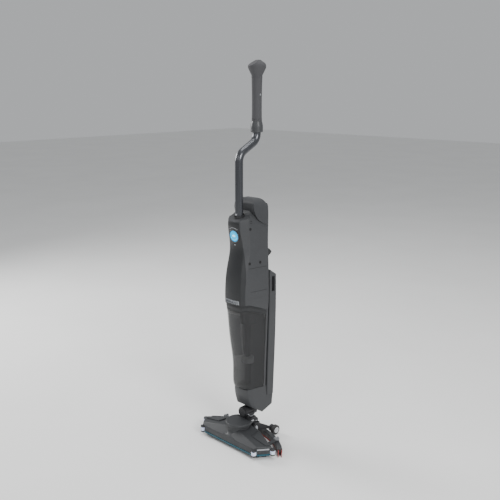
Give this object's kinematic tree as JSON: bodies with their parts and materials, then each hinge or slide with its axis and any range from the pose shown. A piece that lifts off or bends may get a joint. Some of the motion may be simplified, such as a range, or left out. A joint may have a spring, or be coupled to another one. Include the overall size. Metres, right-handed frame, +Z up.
{
  "type": "wet dry floor scrubber",
  "caption": "Upright cordless floor scrubber: wing-shaped vibrating brush deck with squeegee, jointed neck, twin tanks, swan-neck handle.",
  "frame": {"origin": "on the floor under the middle of the machine's box", "axes": "+Z up, -Y the way the machine faces, +X to the machine's left"},
  "size_m": [0.3366, 0.194, 1.2],
  "materials": {
    "body_grey": "satin moulded, dark grey",
    "deck_grey": "satin moulded, dark grey",
    "panel_dark": "fine matt, nearly black",
    "inner_black": "plain moulded black",
    "strip_teal": "satin teal blue",
    "roller_pale": "smooth pale blue",
    "hub_white": "satin off-white",
    "tyre_rubber": "matt black rubber",
    "blade_red": "red rubber",
    "bristle_grey": "dense nylon tufts",
    "steel_pin": "turned steel",
    "tube_dark": "dark glossy coated tube",
    "tank_smoke": "smoke-clear plastic",
    "motor_metal": "plated can",
    "knob_grey": "satin grey",
    "latch_silver": "silver",
    "bezel_dark": "gloss black",
    "display_blue": "lit blue display",
    "board_green": "circuit board",
    "grip_rubber": "soft black grip"
  },
  "bodies": {
    "base": {"deck_shell": "deck_grey", "deck_chassis": "inner_black", "motor_cover": "deck_grey", "bumper_strip": "strip_teal", "brush_motor": "motor_metal", "roller_pins": "steel_pin", "neck_bracket": "inner_black", "pitch_pin": "steel_pin", "rear_arm_left": "inner_black", "rear_arm_right": "inner_black", "wheel_axles": "steel_pin", "squeegee_holder": "deck_grey", "squeegee_blade_front": "blade_red", "squeegee_blade_rear": "blade_red", "squeegee_straps": "deck_grey"},
    "roller_front_left": {"bumper_roller_front_left": "roller_pale"},
    "roller_rear_left": {"bumper_roller_rear_left": "roller_pale"},
    "roller_front_right": {"bumper_roller_front_right": "roller_pale"},
    "roller_rear_right": {"bumper_roller_rear_right": "roller_pale"},
    "wheel_left": {"wheel_tyre_left": "tyre_rubber", "wheel_hub_left": "hub_white"},
    "wheel_right": {"wheel_tyre_right": "tyre_rubber", "wheel_hub_right": "hub_white"},
    "knob_left": {"squeegee_knob_left": "knob_grey"},
    "knob_right": {"squeegee_knob_right": "knob_grey"},
    "crank": {"eccentric_shaft": "steel_pin"},
    "brush": {"brush_plate": "inner_black", "brush_bristles": "bristle_grey"},
    "neck": {"neck_yoke": "inner_black"},
    "upright": {"boot_shell": "body_grey", "boot_frame": "inner_black", "roll_pin": "inner_black", "water_pump": "inner_black", "spine_frame": "body_grey", "housing_skirt": "body_grey", "upper_housing_left": "body_grey", "upper_housing_right": "body_grey", "housing_screws": "steel_pin", "front_panel": "panel_dark", "button_bezel": "bezel_dark", "control_board": "board_green", "vacuum_motor": "inner_black", "tube_socket": "inner_black"},
    "dirty_tank": {"recovery_tank": "tank_smoke", "tank_lid": "panel_dark", "standpipe": "inner_black"},
    "float": {"tank_float": "hub_white"},
    "water_tank": {"clean_tank": "body_grey"},
    "water_cap": {"clean_tank_cap": "panel_dark"},
    "battery": {"battery_dome": "body_grey", "battery_pack": "inner_black"},
    "battery_lever": {"battery_latch": "panel_dark"},
    "tank_button": {"tank_latch": "latch_silver"},
    "display_button": {"start_button": "display_blue"},
    "handle": {"handle_tube": "tube_dark", "grip_collar": "body_grey", "grip_sleeve": "grip_rubber", "grip_knob": "grip_rubber", "grip_screw": "steel_pin"},
    "tube_button": {"snap_button": "steel_pin"}
  },
  "joints": [
    {"name": "neck_pitch", "type": "hinge", "parent": "base", "child": "neck", "pos_m": [0, 0, 0.066], "axis": [-1, 0, 0], "range_deg": [0, 55]},
    {"name": "neck_roll", "type": "hinge", "parent": "neck", "child": "upright", "pos_m": [0, 0, 0.097], "axis": [0, 1, 0], "range_deg": [-15, 15]},
    {"name": "roller_front_left_spin", "type": "hinge", "parent": "base", "child": "roller_front_left", "pos_m": [0.116, -0.089, 0.022], "axis": [0, 0, 1], "continuous": true},
    {"name": "roller_rear_left_spin", "type": "hinge", "parent": "base", "child": "roller_rear_left", "pos_m": [0.152, -0.042, 0.022], "axis": [0, 0, 1], "continuous": true},
    {"name": "roller_front_right_spin", "type": "hinge", "parent": "base", "child": "roller_front_right", "pos_m": [-0.116, -0.089, 0.022], "axis": [0, 0, 1], "continuous": true},
    {"name": "roller_rear_right_spin", "type": "hinge", "parent": "base", "child": "roller_rear_right", "pos_m": [-0.152, -0.042, 0.022], "axis": [0, 0, 1], "continuous": true},
    {"name": "wheel_left_spin", "type": "hinge", "parent": "base", "child": "wheel_left", "pos_m": [0.0525, 0.081, 0.016], "axis": [1, 0, 0], "continuous": true},
    {"name": "wheel_right_spin", "type": "hinge", "parent": "base", "child": "wheel_right", "pos_m": [-0.0525, 0.081, 0.016], "axis": [1, 0, 0], "continuous": true},
    {"name": "knob_left_turn", "type": "hinge", "parent": "base", "child": "knob_left", "pos_m": [0.1145, 0.01825, 0.03], "axis": [0, 0, 1], "range_deg": [0, 90]},
    {"name": "knob_right_turn", "type": "hinge", "parent": "base", "child": "knob_right", "pos_m": [-0.1145, 0.01825, 0.03], "axis": [0, 0, 1], "range_deg": [0, 90]},
    {"name": "brush_drive", "type": "hinge", "parent": "base", "child": "crank", "pos_m": [0, -0.037, 0.022], "axis": [0, 0, 1], "continuous": true},
    {"name": "brush_orbit", "type": "hinge", "parent": "crank", "child": "brush", "pos_m": [0.0015, -0.037, 0.014], "axis": [0, 0, 1], "continuous": true},
    {"name": "dirty_tank_out", "type": "slide", "parent": "upright", "child": "dirty_tank", "axis": [0, -1, 0], "range_m": [0, 0.11]},
    {"name": "float_rise", "type": "slide", "parent": "dirty_tank", "child": "float", "axis": [0, 0, 1], "range_m": [0, 0.11]},
    {"name": "water_tank_out", "type": "slide", "parent": "upright", "child": "water_tank", "axis": [0, 1, 0], "range_m": [0, 0.06]},
    {"name": "water_cap_turn", "type": "hinge", "parent": "water_tank", "child": "water_cap", "pos_m": [0, 0.064, 0.55919], "axis": [0, 0.5735, 0.8192], "range_deg": [0, 90]},
    {"name": "battery_lift", "type": "slide", "parent": "upright", "child": "battery", "axis": [0, 0, 1], "range_m": [0, 0.08]},
    {"name": "battery_catch_slide", "type": "slide", "parent": "upright", "child": "battery_lever", "axis": [0, 0, -1], "range_m": [0, 0.006]},
    {"name": "tank_latch_press", "type": "slide", "parent": "upright", "child": "tank_button", "axis": [0, 1, 0], "range_m": [0, 0.0025], "stiffness_N_per_m": 500},
    {"name": "start_button_press", "type": "slide", "parent": "upright", "child": "display_button", "axis": [0, 0.9919, 0.1271], "range_m": [0, 0.0012], "stiffness_N_per_m": 600},
    {"name": "handle_pull_out", "type": "slide", "parent": "upright", "child": "handle", "axis": [0, 0, 1], "range_m": [0, 0.09]},
    {"name": "snap_button_press", "type": "slide", "parent": "handle", "child": "tube_button", "axis": [0, 1, 0], "range_m": [0, 0.0025], "stiffness_N_per_m": 900}
  ],
  "couplings": [
    {"joint": "brush_orbit", "follows": "brush_drive", "ratio": -1}
  ]
}
